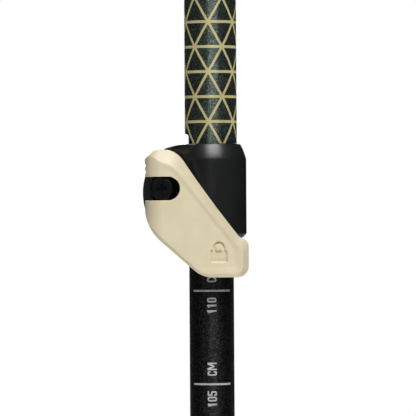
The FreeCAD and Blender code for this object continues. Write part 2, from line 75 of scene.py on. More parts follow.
# Wrist strap: the webbing's turn at the grip, and the wide turn for the hand
STRAP_PIN = Vector((3.6, 0, 1104.5)) * MM
LOOP_TOP = Vector((18.0, 0, 1104.5)) * MM
LOOP_LOW = Vector((43.0, 0, 975.0)) * MM
LOOP_LOW_R = high("wrist_strap").x - LOOP_LOW.x
WEBBING_WIDTH = high("wrist_strap").y - low("wrist_strap").y
WEBBING_THICKNESS = 1.6 * MM
LOOP_TOP_R = 3.2 * MM
PAD_WIDTH = high("wrist_pad").y - low("wrist_pad").y
PAD_THICKNESS = 3.4 * MM
SEWN_AT = 0.62  # where the pad is stitched, as a fraction of its half width


# ---------------------------------------------------------------- material helper


class Paint:
    """A Principled material, with short calls for the nodes that vary it."""

    def __init__(self, name, **sockets):
        self.material = bpy.data.materials.new(name)
        self.material.use_nodes = True
        self.tree = self.material.node_tree
        self.shader = self.tree.nodes["Principled BSDF"]
        for socket, value in sockets.items():
            self.feed(self.shader, socket.replace("_", " ").title().replace("Ior", "IOR"), value)
        self._object = None

    def feed(self, node, socket, value):
        if isinstance(value, bpy.types.NodeSocket):
            self.tree.links.new(value, node.inputs[socket])
        elif isinstance(value, tuple) and len(value) == 3 and len(node.inputs[socket].default_value) == 4:
            node.inputs[socket].default_value = (*value, 1.0)
        else:
            node.inputs[socket].default_value = value

    def add(self, kind, inputs=None, **settings):
        node = self.tree.nodes.new("ShaderNode" + kind)
        for name, value in settings.items():
            setattr(node, name, value)
        for socket, value in (inputs or {}).items():
            self.feed(node, socket, value)
        return node

    def math(self, operation, a, b=0.0):
        return self.add("Math", {0: a, 1: b}, operation=operation).outputs[0]

    def place(self):
        """Coordinates that move with the piece, in metres."""
        if self._object is None:
            self._object = self.add("TexCoord").outputs["Object"]
        return self._object

    def xyz(self):
        split = self.add("SeparateXYZ", {0: self.place()})
        return split.outputs["X"], split.outputs["Y"], split.outputs["Z"]

    def stretched(self, x, y, z):
        return self.add("VectorMath", {0: self.place(), 1: (x, y, z)}, operation="MULTIPLY").outputs[0]

    def noise(self, size, detail=3.0, vector=None, roughness=0.55):
        """Noise from 0 to 1 whose blotches are about size across, in metres."""
        inputs = {"Vector": vector or self.place(), "Scale": 1 / size}
        inputs |= {"Detail": detail, "Roughness": roughness}
        return self.add("TexNoise", inputs).outputs["Fac"]

    def cells(self, size, feature="F1", vector=None, randomness=1.0):
        inputs = {"Vector": vector or self.place(), "Scale": 1 / size, "Randomness": randomness}
        return self.add("TexVoronoi", inputs, feature=feature)

    def remap(self, value, start, end, low_value=0.0, high_value=1.0, smooth=False):
        inputs = {"Value": value, 1: start, 2: end, 3: low_value, 4: high_value}
        kind = "SMOOTHSTEP" if smooth else "LINEAR"
        return self.add("MapRange", inputs, interpolation_type=kind).outputs[0]

    def mix(self, amount, a, b):
        node = self.add("Mix", data_type="RGBA")
        self.feed(node, 0, amount)
        self.feed(node, 6, a)
        self.feed(node, 7, b)
        return node.outputs[2]

    def use(self, socket, value):
        self.feed(self.shader, socket, value)

    def bump(self, height, depth, strength=1.0):
        """Adds relief: height runs from 0 to 1 over depth, in metres."""
        inputs = {"Height": height, "Distance": depth, "Strength": strength}
        links = self.shader.inputs["Normal"].links
        if links:
            inputs["Normal"] = links[0].from_socket
        self.use("Normal", self.add("Bump", inputs).outputs[0])


def dress(node, paint):
    """Gives a CAD node its material."""
    mesh = NODES[node].data
    mesh.materials.clear()
    mesh.materials.append(paint.material)


# ---------------------------------------------------------------- materials


LATTICE_PITCH = 6.68 * MM  # between the rings
LATTICE_LINE = 0.66 * MM
LATTICE_ABOVE_LOCK = 17.86 * MM  # a ring's height above the lock's screw
LATTICE_TURN = math.radians(-5.1)  # how far a crossing on that ring stands from the front


def lattice(paint, radius, ring_z, start, end):
    """Mask of a printed triangular lattice wrapped round a tube, with its seam at the back."""
    pitch, line = LATTICE_PITCH, LATTICE_LINE
    side = pitch / math.sin(math.radians(60))
    x, y, z = paint.xyz()
    angle = paint.math("ARCTAN2", x, paint.math("MULTIPLY", y, -1.0))
    along = paint.math("MULTIPLY", paint.math("SUBTRACT", angle, LATTICE_TURN), radius / side)
    up = paint.math("DIVIDE", paint.math("SUBTRACT", z, ring_z), pitch)
    half_up = paint.math("MULTIPLY", up, 0.5)

    def distance(value):
        nearest = paint.math("FRACT", paint.math("ADD", value, 0.5))
        return paint.math("ABSOLUTE", paint.math("SUBTRACT", nearest, 0.5))

    rings = paint.math("SUBTRACT", distance(up), 0.04 * MM / pitch)
    falling = distance(paint.math("ADD", along, half_up))
    rising = distance(paint.math("SUBTRACT", along, half_up))
    slants = paint.math("MINIMUM", falling, rising)
    nearest = paint.math("MULTIPLY", paint.math("MINIMUM", rings, slants), pitch)
    ragged = paint.math("MULTIPLY", paint.noise(0.5 * MM, 2.0), 0.05 * MM)
    lines = paint.remap(paint.math("ADD", nearest, ragged), line / 2, line / 2 + 0.06 * MM, 1.0, 0.0)
    above = paint.remap(z, start - line / 2, start - line / 2 + 0.05 * MM)
    below = paint.remap(z, end + line / 2, end + line / 2 + 0.05 * MM, 1.0, 0.0)
    printed = paint.math("MULTIPLY", above, below)
    seam = paint.remap(paint.math("ABSOLUTE", angle), math.pi - 0.045, math.pi - 0.035, 1.0, 0.0)
    return paint.math("MULTIPLY", lines, paint.math("MULTIPLY", printed, seam))


def ground_round(paint, amount):
    """Centreless grinding runs round the tube, so it stretches a highlight along the tube."""
    paint.use("Anisotropic", amount)
    paint.use("Anisotropic Rotation", 0.25)
    paint.use("Tangent", paint.add("Tangent", direction_type="RADIAL", axis="Z").outputs[0])


def printed_tube(name, radius, lock_z, collar_bottom, rings):
    """Dark green-black pearl lacquer with gold lines, from the collar up through so many rings."""
    paint = Paint(name, ior=1.5, diffuse_roughness=1.0)
    ring_z = lock_z + LATTICE_ABOVE_LOCK
    mask = lattice(paint, radius, ring_z, collar_bottom, ring_z + LATTICE_PITCH * rings)
    flakes = paint.cells(0.13 * MM).outputs["Color"]
    flake = paint.add("SeparateColor", {0: flakes}).outputs[0]
    sparkle = paint.remap(flake, 0.55, 1.0)
    pearl = paint.mix(sparkle, (0.03, 0.04, 0.034), (0.25, 0.31, 0.27))
    grime = paint.remap(paint.noise(9 * MM, 4.0), 0.35, 0.75)
    gold = paint.mix(grime, (0.67, 0.6, 0.315), (0.6, 0.535, 0.27))
    paint.use("Base Color", paint.mix(mask, pearl, gold))
    paint.use("Metallic", paint.remap(mask, 0.0, 1.0, 0.85, 0.1))
    wear = paint.remap(paint.noise(2.5 * MM, 5.0), 0.3, 0.8, 0.35, 0.38)
    paint.use("Roughness", paint.math("ADD", wear, paint.math("MULTIPLY", mask, 0.23)))
    ground_round(paint, 1.0)
    paint.bump(mask, 0.02 * MM)
    paint.bump(paint.noise(0.35 * MM, 2.0), 0.002 * MM)
    return paint


def anodised_tube(name, colour):
    """Bead-blasted black anodising that glitters, with fine draw lines along the tube."""
    paint = Paint(name, metallic=0.9)
    draw = paint.noise(0.25 * MM, 3.0, paint.stretched(1, 1, 0.02))
    glint = paint.add("SeparateColor", {0: paint.cells(0.3 * MM).outputs["Color"]}).outputs[0]
    cloud = paint.remap(paint.noise(14 * MM, 3.0), 0.3, 0.7, 0.9, 1.1)
    tone = paint.math("MULTIPLY", paint.math("POWER", glint, 2.0), cloud)
    dull, bright = tuple(c * 0.6 for c in colour), tuple(c * 3.8 for c in colour)
    paint.use("Base Color", paint.mix(tone, dull, bright))
    paint.use("Roughness", paint.remap(draw, 0.3, 0.7, 0.37, 0.45))
    ground_round(paint, 0.9)
    paint.bump(paint.noise(0.22 * MM, 2.0), 0.02 * MM)
    paint.bump(draw, 0.004 * MM)
    return paint


def moulded(name, colour, roughness, grain_size=0.22 * MM, grain_depth=0.012 * MM, variation=1.25):
    """Moulded plastic: spark-eroded grain, faint flow marks, and gloss that wear has evened out."""
    paint = Paint(name, ior=1.5)
    flow = paint.noise(6 * MM, 4.0, paint.stretched(1, 1, 0.5))
    lighter = tuple(min(1.0, c * variation) for c in colour)
    paint.use("Base Color", paint.mix(paint.remap(flow, 0.35, 0.7), colour, lighter))
    scuffs = paint.noise(1.1 * MM, 5.0)
    paint.use("Roughness", paint.remap(scuffs, 0.3, 0.75, roughness - 0.05, roughness + 0.07))
    paint.bump(paint.noise(grain_size, 3.0), grain_depth)
    return paint


def cream_plastic():
    """Lever: cream plastic, a little translucent, faintly mottled, and flecked at random with darker
    specks.
    """
    paint = Paint("cream_plastic", ior=1.5)
    cloud = paint.noise(5 * MM, 5.0)
    speck = paint.noise(0.5 * MM, 3.0)
    base = paint.mix(paint.remap(cloud, 0.3, 0.7), (0.74, 0.645, 0.445), (0.79, 0.7, 0.495))
    paint.use("Base Color", paint.mix(paint.remap(speck, 0.62, 0.8, 0.0, 0.25), base, (0.66, 0.57, 0.38)))
    paint.use("Roughness", paint.remap(paint.noise(0.9 * MM, 4.0), 0.3, 0.75, 0.34, 0.46))
    paint.use("Subsurface Weight", 0.03)
    paint.use("Subsurface Radius", (1.0, 0.7, 0.4))
    paint.use("Subsurface Scale", 0.8 * MM)
    paint.bump(paint.noise(0.3 * MM, 3.0), 0.006 * MM)
    return paint


def steel(name, colour, roughness):
    paint = Paint(name, metallic=1.0)
    turned = paint.noise(0.1 * MM, 3.0, paint.stretched(1, 1, 6))
    stain = paint.noise(1.6 * MM, 4.0)
    lighter = tuple(min(1.0, c * 1.35) for c in colour)
    paint.use("Base Color", paint.mix(paint.remap(stain, 0.3, 0.7), colour, lighter))
    paint.use("Roughness", paint.remap(turned, 0.3, 0.7, roughness - 0.06, roughness + 0.08))
    paint.bump(turned, 0.003 * MM)
    return paint


def cork():
    """Pressed cork: tan granules of mixed tone with dark bark flecks between them."""
    paint = Paint("cork", ior=1.4)
    warp = paint.add("TexNoise", {"Vector": paint.place(), "Scale": 1 / (3 * MM), "Detail": 2.0})
    inputs = {0: warp.outputs["Color"], 1: (1.6 * MM,) * 3}
    shifted = paint.add("VectorMath", inputs, operation="MULTIPLY").outputs[0]
    bent = paint.add("VectorMath", {0: paint.place(), 1: shifted}, operation="ADD").outputs[0]
    granule = paint.cells(2.3 * MM, vector=bent)
    edges = paint.cells(2.3 * MM, "DISTANCE_TO_EDGE", vector=bent).outputs["Distance"]
    tone = paint.add("SeparateColor", {0: granule.outputs["Color"]}).outputs[0]
    light = paint.mix(tone, (0.36, 0.2, 0.09), (0.56, 0.36, 0.19))
    fine = paint.noise(0.5 * MM, 4.0)
    body = paint.mix(paint.remap(fine, 0.45, 0.75, 0.0, 0.6), light, (0.62, 0.42, 0.24))
    gap = paint.remap(edges, 0.0, 0.05, 1.0, 0.0, smooth=True)
    gap = paint.math("MULTIPLY", gap, paint.remap(paint.noise(5 * MM, 3.0), 0.42, 0.6))
    fleck = paint.remap(paint.noise(1.3 * MM, 4.0, paint.stretched(1, 1, 0.6)), 0.63, 0.72)
    dark = paint.math("MAXIMUM", gap, fleck)
    paint.use("Base Color", paint.mix(paint.math("MULTIPLY", dark, 0.8), body, (0.1, 0.05, 0.025)))
    paint.use("Roughness", paint.remap(fine, 0.3, 0.8, 0.62, 0.8))
    paint.bump(paint.math("SUBTRACT", 1.0, dark), 0.12 * MM, 0.8)
    paint.bump(fine, 0.05 * MM)
    return paint


def foam():
    """Closed-cell foam: matt, with fine pores and a few larger ones."""
    paint = Paint("foam", ior=1.35)
    pores = paint.cells(0.45 * MM).outputs["Distance"]
    blotch = paint.noise(8 * MM, 4.0)
    tone = paint.remap(blotch, 0.3, 0.7)
    paint.use("Base Color", paint.mix(tone, (0.02, 0.021, 0.022), (0.034, 0.035, 0.036)))
    paint.use("Roughness", paint.remap(blotch, 0.3, 0.7, 0.82, 0.94))
    paint.use("Sheen Weight", 0.25)
    paint.use("Sheen Roughness", 0.5)
    paint.bump(paint.remap(pores, 0.0, 0.6), 0.09 * MM)
    paint.bump(paint.noise(2.2 * MM, 3.0), 0.1 * MM)
    return paint


def woven(name, colour, thread, stripe=None):
    """Webbing or knit, from its UV map in metres: u across and v along, coloured with painted shade between
    its threads.
    """
    paint = Paint(name, ior=1.45)
    uv = paint.add("UVMap", uv_map="cloth").outputs[0]
    split = paint.add("SeparateXYZ", {0: uv})
    u, v = split.outputs["X"], split.outputs["Y"]
    slanted = paint.math("ADD", v, paint.math("PINGPONG", u, thread * 4))
    warp = paint.math("ABSOLUTE", paint.math("SINE", paint.math("MULTIPLY", u, math.pi / thread)))
    weft = paint.math("ABSOLUTE", paint.math("SINE", paint.math("MULTIPLY", slanted, math.pi / thread)))
    height = paint.math("MULTIPLY", paint.math("ADD", warp, 0.4), weft)
    fibre = paint.noise(0.12 * MM, 3.0)
    # Painted shade between the threads and painted highlight on their crowns: the colour runs from 0.45 to
    # 1.5 times the cloth's own along the weave's height, with random fibre tone mixed in
    painted_weave_shade = paint.remap(paint.math("ADD", height, paint.math("MULTIPLY", fibre, 0.5)), 0.2, 1.6)
    tone = paint.mix(painted_weave_shade, tuple(c * 0.45 for c in colour), tuple(c * 1.5 for c in colour))
    if stripe:
        half, stripe_colour = stripe
        edge = paint.remap(paint.math("ABSOLUTE", u), half, half + 0.15 * MM, 1.0, 0.0)
        # The stripe carries the same painted shade and painted highlight of the weave
        light = paint.mix(painted_weave_shade, tuple(c * 0.5 for c in stripe_colour), stripe_colour)
        tone = paint.mix(edge, tone, light)
    paint.use("Base Color", tone)
    paint.use("Roughness", paint.remap(fibre, 0.3, 0.7, 0.68, 0.86))
    paint.use("Sheen Weight", 0.3)
    paint.use("Sheen Roughness", 0.4)
    paint.bump(height, 0.16 * MM)
    paint.bump(fibre, 0.03 * MM)
    return paint


def scale_ink():
    """Pale grey pad-printed ink, thin in places."""
    paint = Paint("scale_ink")
    thin = paint.remap(paint.noise(0.7 * MM, 4.0), 0.35, 0.7)
    paint.use("Base Color", paint.mix(thin, (0.36, 0.375, 0.375), (0.52, 0.53, 0.53)))
    paint.use("Roughness", paint.remap(thin, 0.0, 1.0, 0.5, 0.65))
    paint.bump(thin, 0.01 * MM)
    return paint


def carbide():
    paint = Paint("carbide", metallic=1.0)
    ground = paint.noise(0.2 * MM, 4.0, paint.stretched(1, 1, 4))
    paint.use("Base Color", paint.mix(ground, (0.2, 0.2, 0.205), (0.42, 0.42, 0.43)))
    paint.use("Roughness", paint.remap(ground, 0.3, 0.7, 0.25, 0.5))
    paint.bump(ground, 0.02 * MM)
    return paint


def paint_frame():
    middle = printed_tube("middle_tube_print", MIDDLE_R, LOWER_LOCK_Z, LOWER_COLLAR_BOTTOM, 15)
    upper = printed_tube("upper_tube_print", UPPER_R, UPPER_LOCK_Z, UPPER_COLLAR_BOTTOM, 24)
    cream = cream_plastic()
    collar = moulded("collar_plastic", (0.0085, 0.009, 0.0095), 0.33, grain_depth=0.018 * MM)
    collar.use("Specular IOR Level", 0.58)
    black_steel = steel("black_steel", (0.018, 0.019, 0.022), 0.42)
    bright_steel = steel("bright_steel", (0.5, 0.5, 0.51), 0.35)
    bush = moulded("bush_plastic", (0.03, 0.03, 0.031), 0.45)
    cap = moulded("cap_plastic", (0.018, 0.018, 0.019), 0.48, 0.5 * MM, 0.04 * MM)
    dress("middle_shaft", middle)
    dress("upper_shaft", upper)
    dress("lower_shaft", anodised_tube("lower_tube_anodised", (0.012, 0.0122, 0.0125)))
    for lock in ("lower", "upper"):
        dress(f"{lock}_lever", cream)
        dress(f"{lock}_collar", collar)
        dress(f"{lock}_trunnion_pin", black_steel)
        dress(f"{lock}_tension_screw", black_steel)
        dress(f"{lock}_square_nut", bright_steel)
    for node in ("middle_guide_bush", "lower_guide_bush", "shaft_end_plug"):
        dress(node, bush)
    dress("grip_handle", cork())
    dress("grip_cap", cap)
    dress("strap_wedge", moulded("wedge_plastic", (0.03, 0.03, 0.031), 0.4))
    dress("grip_extension", foam())
    dress("strap_pin", bright_steel)
    dress("tip_ferrule", moulded("ferrule_plastic", (0.014, 0.014, 0.015), 0.42))
    dress("basket", moulded("basket_plastic", (0.016, 0.016, 0.016), 0.55, 0.35 * MM, 0.03 * MM))
    dress("carbide_tip", carbide())


# ---------------------------------------------------------------- moulded edges


def soften(node, voxel, passes):
    """Rounds a moulded part's edges, as its tool leaves them."""
    obj = NODES[node]
    remesh = obj.modifiers.new("mould", "REMESH")
    remesh.mode = "VOXEL"
    remesh.voxel_size = voxel
    remesh.use_smooth_shade = True
    smooth = obj.modifiers.new("edges", "SMOOTH")
    smooth.factor = 0.5
    smooth.iterations = passes


def soften_moulded_parts():
    for lock in ("lower", "upper"):
        soften(f"{lock}_lever", 0.14 * MM, 3)
        soften(f"{lock}_collar", 0.18 * MM, 5)
    soften("grip_cap", 0.4 * MM, 5)
    soften("strap_wedge", 0.25 * MM, 4)
    soften("grip_handle", 0.6 * MM, 4)
    soften("grip_extension", 0.4 * MM, 4)
    soften("basket", 0.3 * MM, 4)


# ---------------------------------------------------------------- printed scale


def new_piece(name, mesh, paint):
    mesh.materials.clear()
    mesh.materials.append(paint.material)
    obj = bpy.data.objects.new(name, mesh)
    bpy.context.scene.collection.objects.link(obj)
    return obj


# Letters of the printed scale, one unit high: the width, the lines along the middle of the ink, each
# with True if it closes, and filled outlines. A point of a line is (x, y), or (x, y, r) where the line
# turns through a bend of size r.
INK_HALF = 0.08
DIGIT = 0.5
LEFT, RIGHT, FOOT, HEAD, BEND = INK_HALF, DIGIT - INK_HALF, INK_HALF, 1 - INK_HALF, 0.13
BOWL = [(LEFT, FOOT, BEND), (RIGHT, FOOT, BEND), (RIGHT, HEAD, BEND), (LEFT, HEAD, BEND)]
SHOULDER = [(LEFT, 0.56), (RIGHT, 0.56, BEND)]
LETTERS = {
    "0": (DIGIT, [(True, BOWL)], []),
    "1": (
        DIGIT,
        [],
        [[(0.18, 0), (0.34, 0), (0.34, 1), (0.21, 1), (0.03, 0.89), (0.03, 0.74), (0.18, 0.82)]],
    ),
    "2": (
        DIGIT,
        [(False, [(LEFT, 0.7), *BOWL[:1:-1], (RIGHT, 0.6, 0.1), (LEFT, FOOT), (DIGIT, FOOT)])],
        [],
    ),
    "5": (
        DIGIT,
        [(False, [(DIGIT, HEAD), (LEFT, HEAD), *SHOULDER, *BOWL[1::-1], (LEFT, 0.3)])],
        [],
    ),
    "7": (DIGIT, [(False, [(0, HEAD), (RIGHT, HEAD), (0.17, 0)])], []),
    "8": (DIGIT, [(True, BOWL), (False, [(2 * INK_HALF, 0.52), (DIGIT - 2 * INK_HALF, 0.52)])], []),
    "9": (
        DIGIT,
        [(False, [(LEFT, 0.28), *BOWL, (LEFT, 0.44, BEND), (RIGHT - INK_HALF, 0.44)])],
        [],
    ),
    "C": (DIGIT, [(False, [(RIGHT, 0.68), *BOWL[2:], *BOWL[:2], (RIGHT, 0.32)])], []),
    "M": (
        0.8,
        [],
        [
            [
                (0, 0),
                (0, 1),
                (0.19, 1),
                (0.4, 0.5),
                (0.61, 1),
                (0.8, 1),
                (0.8, 0),
                (0.64, 0),
                (0.64, 0.64),
                (0.46, 0.24),
                (0.34, 0.24),
                (0.16, 0.64),
                (0.16, 0),
            ]
        ],
    ),
}


def rounded(points):
    """The line's points, with its bends drawn as short curves."""
    line, steps = [], 5
    for i, point in enumerate(points):
        corner = Vector(point[:2])
        if len(point) == 2:
            line.append(corner)
            continue
        before = Vector(points[i - 1][:2])
        after = Vector(points[(i + 1) % len(points)][:2])
        start = corner + (before - corner).normalized() * point[2]
        end = corner + (after - corner).normalized() * point[2]
        for step in range(steps + 1):
            t = step / steps
            line.append(start * (1 - t) ** 2 + corner * 2 * t * (1 - t) + end * t**2)
    return line


def ink_line(bm, points, closed):
    """Band of ink along a line, mitred where it turns."""
    line = rounded(points)
    rows = []
    for i, here in enumerate(line):
        before = line[i - 1] if closed or i else None
        after = line[(i + 1) % len(line)] if closed or i + 1 < len(line) else None
        leaving = (after - here).normalized() if after else (here - before).normalized()
        arriving = (here - before).normalized() if before else leaving
        across = Vector((-arriving.y - leaving.y, arriving.x + leaving.x)).normalized()
        reach = INK_HALF / across.dot(Vector((-arriving.y, arriving.x)))
        rows.append([bm.verts.new((here + across * reach * side).to_3d()) for side in (-1, 1)])
    following = rows[1:] + rows[:1] if closed else rows[1:]
    for a, b in zip(rows, following):
        bm.faces.new((a[0], b[0], b[1], a[1]))


def flat_text(words, cap_height):
    """Text as a flat mesh, and its length. It reads along x from 0, with its caps' middle on y = 0."""
    bm = bmesh.new()
    start, gap = 0.0, 0.09
    for letter in words:
        width, lines, outlines = LETTERS[letter]
        first = len(bm.verts)
        for closed, points in lines:
            ink_line(bm, points, closed)
        for points in outlines:
            bm.faces.new([bm.verts.new((x, y, 0)) for x, y in points])
        bm.verts.ensure_lookup_table()
        for v in bm.verts[first:]:
            v.co.x += start
        start += width + gap
    for v in bm.verts:
        v.co = Vector((v.co.x, v.co.y - 0.5, 0)) * cap_height
    bmesh.ops.triangulate(bm, faces=bm.faces)
    return bm, (start - gap) * cap_height


def slice_for_bending(bm, reach, step):
    """Cuts a flat mesh into strips so that it can follow a tube."""
    for i in range(1 - int(reach / step), int(reach / step)):
        geometry = bm.verts[:] + bm.edges[:] + bm.faces[:]
        bmesh.ops.bisect_plane(bm, geom=geometry, plane_co=(0, i * step, 0), plane_no=(0, 1, 0))


def wrap(bm, part, z, radius):
    """Adds a flat mesh to bm, reading upwards from z with its caps towards -X, wrapped on a tube."""
    slice_for_bending(part, 1.6 * MM, 0.3 * MM)
    for v in part.verts:
        angle = -v.co.y / radius
        v.co = Vector((radius * math.sin(angle), -radius * math.cos(angle), z + v.co.x))
    mesh = bpy.data.meshes.new("letters")
    part.to_mesh(mesh)
    part.free()
    bm.from_mesh(mesh)
    bpy.data.meshes.remove(mesh)


def scale_line(bm, z, radius):
    """One mark round the front of the tube."""
    half_angle, half_height, steps = math.radians(54), 0.26 * MM, 36
    rows = []
    for i in range(steps + 1):
        angle = half_angle * (2 * i / steps - 1)
        x, y = radius * math.sin(angle), -radius * math.cos(angle)
        rows.append([bm.verts.new((x, y, z + side * half_height)) for side in (-1, 1)])
    for a, b in zip(rows, rows[1:]):
        bm.faces.new((a[0], b[0], b[1], a[1]))


SCALE_READING = 110  # the mark just under each lock
MARK_BELOW_COLLAR = 14.1 * MM
LONGEST = 125
CAP_HEIGHT = 2.5 * MM


def build_scale(name, body, tube_r, collar_bottom, shortest, paint):
    """Marks every 5 cm of pole length, 25 mm apart because two sections share each change."""
    radius = tube_r + 0.03 * MM
    bm = bmesh.new()
    for number in range(shortest, LONGEST + 1, 5):
        z = collar_bottom - MARK_BELOW_COLLAR + (number - SCALE_READING) * 5 * MM
        scale_line(bm, z, radius)
        digits, length = flat_text(str(number), CAP_HEIGHT)
        wrap(bm, digits, z - 1.85 * MM - length, radius)
        wrap(bm, flat_text("CM", CAP_HEIGHT)[0], z + 2.3 * MM, radius)
    mesh = bpy.data.meshes.new(name)
    bm.to_mesh(mesh)
    bm.free()
    for polygon in mesh.polygons:
        polygon.use_smooth = True
    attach(new_piece(name, mesh, paint), body)


def build_scales():
    ink = scale_ink()
    build_scale("lower_scale", "lower_section", LOWER_R, LOWER_COLLAR_BOTTOM, 70, ink)
    build_scale("middle_scale", "middle_section", MIDDLE_R, UPPER_COLLAR_BOTTOM, 90, ink)


# ---------------------------------------------------------------- wrist strap


def sweep(name, path, profile):
    """Mesh swept along a path in the XZ plane.

    profile(t) gives the section's (across, out) points at the fraction t of the path.
    """
    bm = bmesh.new()
    layer = bm.loops.layers.uv.new("cloth")
    rings, distance = [], 0.0
    for i, point in enumerate(path):
        before = path[max(i - 1, 0)]
        after = path[min(i + 1, len(path) - 1)]
        tangent = (after - before).normalized()
        out = Vector((tangent.z, 0, -tangent.x))
        if i:
            distance += (point - path[i - 1]).length
        ring = []
        for across, height in profile(i / (len(path) - 1)):
            vert = bm.verts.new(point + Vector((0, across, 0)) + out * height)
            ring.append((vert, across, distance))
        rings.append(ring)
    count = len(rings[0])
    for a, b in zip(rings, rings[1:]):
        for j in range(count):
            corners = (a[j], a[(j + 1) % count], b[(j + 1) % count], b[j])
            face = bm.faces.new([c[0] for c in corners])
            face.smooth = True
            for loop, corner in zip(face.loops, corners):
                loop[layer].uv = (corner[1], corner[2])
    bm.faces.new([v for v, _, _ in reversed(rings[0])])
    bm.faces.new([v for v, _, _ in rings[-1]])
    bmesh.ops.recalc_face_normals(bm, faces=bm.faces)
    mesh = bpy.data.meshes.new(name)
    bm.to_mesh(mesh)
    bm.free()
    return mesh


def arc(centre, radius, start, end, step=0.6 * MM):
    """Points on an arc in the XZ plane, angles in radians from +X towards +Z."""
    count = max(6, int(abs(end - start) * radius / step))
    points = []
    for i in range(count + 1):
        angle = start + (end - start) * i / count
        points.append(centre + Vector((radius * math.cos(angle), 0, radius * math.sin(angle))))
    return points


def straight(start, end, step=1.0 * MM):
    count = max(2, int((end - start).length / step))
    return [start.lerp(end, i / count) for i in range(count + 1)]


def joined(*runs):
    """One path from several runs, without doubled points."""
    path = []
    for run in runs:
        for point in run:
            if not path or (point - path[-1]).length > 0.05 * MM:
                path.append(point)
    return path


def relaxed(path, passes, keep_ends=2):
    """The path with its corners eased, as cloth takes them."""
    path = [p.copy() for p in path]
    for _ in range(passes):
        eased = [p.copy() for p in path]
        for i in range(keep_ends, len(path) - keep_ends):
            eased[i] = path[i] * 0.5 + (path[i - 1] + path[i + 1]) * 0.25
        path = eased
    return path


def loop_angles():
    """Heading of the hanging loop, and how far the tangent legs turn from square to it."""
    reach = LOOP_LOW - LOOP_TOP
    heading = math.atan2(reach.z, reach.x)
    lean = math.acos((LOOP_TOP_R - LOOP_LOW_R) / reach.length)
    return heading, lean


def webbing_path():
    """Middle of the webbing: out over the pin, round the hand's turn, and back in under the pin."""
    heading, lean = loop_angles()
    middle = WEBBING_THICKNESS / 2
    top_r, low_r = LOOP_TOP_R - middle, LOOP_LOW_R - middle
    up = Vector((0, 0, top_r))
    outer_leg, inner_leg = heading + lean, heading - lean
    top_out = LOOP_TOP + Vector((math.cos(outer_leg), 0, math.sin(outer_leg))) * top_r
    low_out = LOOP_LOW + Vector((math.cos(outer_leg), 0, math.sin(outer_leg))) * low_r
    low_in = LOOP_LOW + Vector((math.cos(inner_leg), 0, math.sin(inner_leg))) * low_r
    corner = Vector((LOOP_TOP.x - top_r - 1.9 * MM, 0, LOOP_TOP.z - top_r))
    turn_in = LOOP_TOP + Vector((-top_r, 0, -top_r - 2.4 * MM))
    return relaxed(
        joined(
            straight(STRAP_PIN + up, LOOP_TOP + up),
            arc(LOOP_TOP, top_r, math.pi / 2, outer_leg, 0.4 * MM),
            straight(top_out, low_out),
            arc(LOOP_LOW, low_r, outer_leg, inner_leg, 1.0 * MM),
            straight(low_in, turn_in),
            straight(turn_in, corner, 0.4 * MM),
            straight(corner, STRAP_PIN - up),
        ),
        6,
    )


def webbing_profile(_):
    """Flat band with a rolled selvedge along each edge."""
    half, thick = WEBBING_WIDTH / 2, WEBBING_THICKNESS / 2
    top = []
    steps = 16
    for i in range(steps + 1):
        across = half * (2 * i / steps - 1) * 0.94
        edge = abs(2 * i / steps - 1)
        top.append((across, thick * (0.78 + 0.2 * max(0.0, (edge - 0.75) / 0.25))))
    side = [(half * 0.985, thick * 0.6), (half, 0.0), (half * 0.985, -thick * 0.6)]
    bottom = [(across, -height) for across, height in reversed(top)]
    other = [(-across, -height) for across, height in side]
    return top + side + bottom + other


def pad_path():
    """Middle of the lining: inside the webbing, round the hand's turn and a little way up both legs."""
    heading, lean = loop_angles()
    skin = WEBBING_THICKNESS + 0.1 * MM + PAD_THICKNESS / 2
    radius = LOOP_LOW_R - skin
    low_turn = arc(LOOP_LOW, radius, heading + lean, heading - lean, 1.0 * MM)
    along_out = (low_turn[0] - low_turn[1]).normalized()
    along_in = (low_turn[-1] - low_turn[-2]).normalized()
    leg = 33 * MM
    first_leg = straight(low_turn[0] + along_out * leg, low_turn[0])
    last_leg = straight(low_turn[-1], low_turn[-1] + along_in * leg)
    return joined(first_leg, low_turn, last_leg)


def pad_profile(t):
    """Soft lining, full between its two sewn rows and thin at its bound edges and ends."""
    half, thick = PAD_WIDTH / 2, PAD_THICKNESS / 2
    end = min(1.0, min(t, 1 - t) / 0.045)
    fullness = math.sqrt(max(0.05, 1 - (1 - end) ** 2))
    width = half * (0.86 + 0.14 * fullness)
    points, steps = [], 40
    for i in range(steps):
        angle = 2 * math.pi * i / steps
        across, out = math.cos(angle), math.sin(angle)
        flat = math.copysign(abs(across) ** 0.75, across)
        rise = math.copysign(abs(out) ** 0.7, out)
        sewn = 1 - 0.38 * math.exp(-(((abs(flat) - SEWN_AT) / 0.09) ** 2))
        points.append((flat * width, rise * thick * fullness * 0.94 * sewn))
    return points


STITCH_PITCH = 2.6 * MM
STITCH_LENGTH = 1.9 * MM
THREAD = 0.38 * MM


